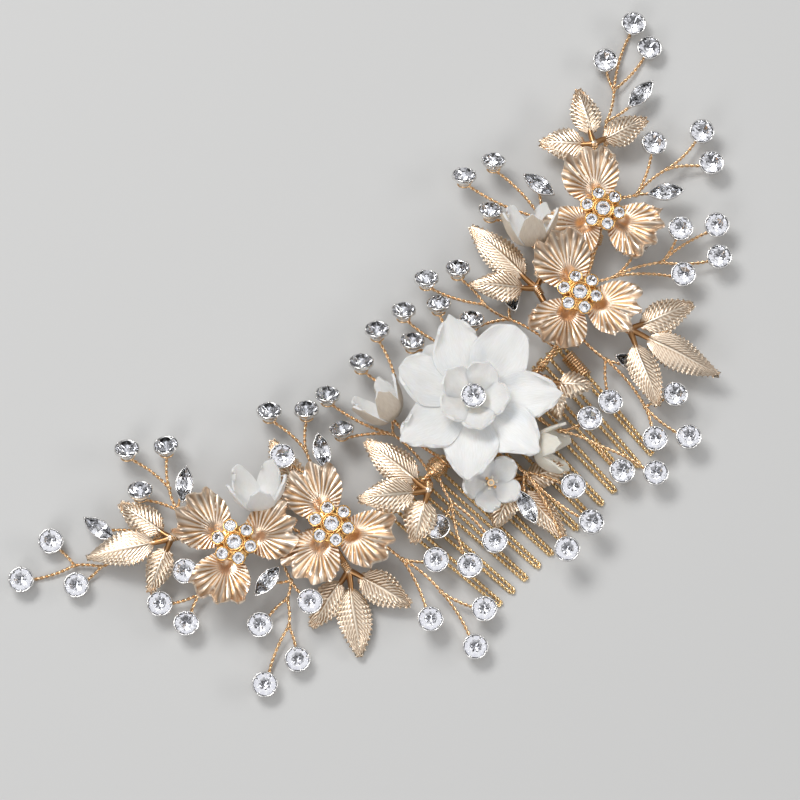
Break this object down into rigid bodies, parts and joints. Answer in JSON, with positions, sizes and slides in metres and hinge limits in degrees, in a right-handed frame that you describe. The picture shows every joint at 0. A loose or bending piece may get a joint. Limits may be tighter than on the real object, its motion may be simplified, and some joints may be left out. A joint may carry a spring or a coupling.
{
  "type": "decorative hair comb",
  "caption": "Wire hair comb carrying a crescent of gold leaves, gold and white flowers and clear stones on wire stems.",
  "frame": {"origin": "middle of the comb bar's length, straight below the bar on the surface the comb lies on", "axes": "+X along the comb bar towards the longer upswept right tip, +Y away from the teeth, +Z out of the surface towards the flower faces"},
  "size_m": [0.1751, 0.0828, 0.0154],
  "materials": {
    "comb_wire": "plated gold wire",
    "stem_wire": "copper-gold twisted wire",
    "gold_leaf": "champagne gold casting",
    "gold_petal": "satin stamped gold",
    "white_petal": "matt bisque white",
    "silver_setting": "bright silver",
    "clear_stone": "cut and foiled",
    "amber_bead": "glossy beads"
  },
  "bodies": {
    "root": {"bud_beads": "amber_bead", "bud_stems": "stem_wire", "comb_bar": "comb_wire", "comb_end_coil": "comb_wire", "comb_teeth": "comb_wire", "gold_flower_1": "gold_petal", "gold_flower_2": "gold_petal", "gold_flower_3": "gold_petal", "gold_flower_4": "gold_petal", "gold_flower_cups": "gold_petal", "gold_flower_stones": "clear_stone", "leaf_sprig_1": "gold_leaf", "leaf_sprig_2": "gold_leaf", "leaf_sprig_3": "gold_leaf", "leaf_sprig_4": "gold_leaf", "leaf_sprig_5": "gold_leaf", "leaf_sprig_6": "gold_leaf", "leaf_sprig_7": "gold_leaf", "leaf_sprig_8": "gold_leaf", "leaf_sprig_9": "gold_leaf", "main_flower_centre_cup": "silver_setting", "main_flower_centre_stone": "clear_stone", "main_flower_inner_petals": "white_petal", "main_flower_neck": "stem_wire", "main_flower_outer_petals": "white_petal", "marquise_cups": "silver_setting", "marquise_stones": "clear_stone", "round_cups_left": "silver_setting", "round_cups_middle": "silver_setting", "round_cups_right": "silver_setting", "round_stones_left": "clear_stone", "round_stones_middle": "clear_stone", "round_stones_right": "clear_stone", "spine_wire": "stem_wire", "spine_wraps": "stem_wire", "spray_below_buds": "stem_wire", "spray_below_centre": "stem_wire", "spray_below_left_sprig": "stem_wire", "spray_below_middle_left": "stem_wire", "spray_below_right_flower": "stem_wire", "spray_crown": "stem_wire", "spray_left_lower": "stem_wire", "spray_left_tip": "stem_wire", "spray_left_upper": "stem_wire", "spray_lower_left": "stem_wire", "spray_lower_right": "stem_wire", "spray_right_lower": "stem_wire", "spray_right_tip": "stem_wire", "spray_right_upper": "stem_wire", "spray_upper_left": "stem_wire", "spray_upper_middle": "stem_wire", "spray_upper_right": "stem_wire", "stem_ties": "comb_wire", "white_bud_1": "white_petal", "white_bud_2": "white_petal", "white_bud_3": "white_petal", "white_bud_4": "white_petal", "white_bud_5": "white_petal"}
  },
  "joints": []
}
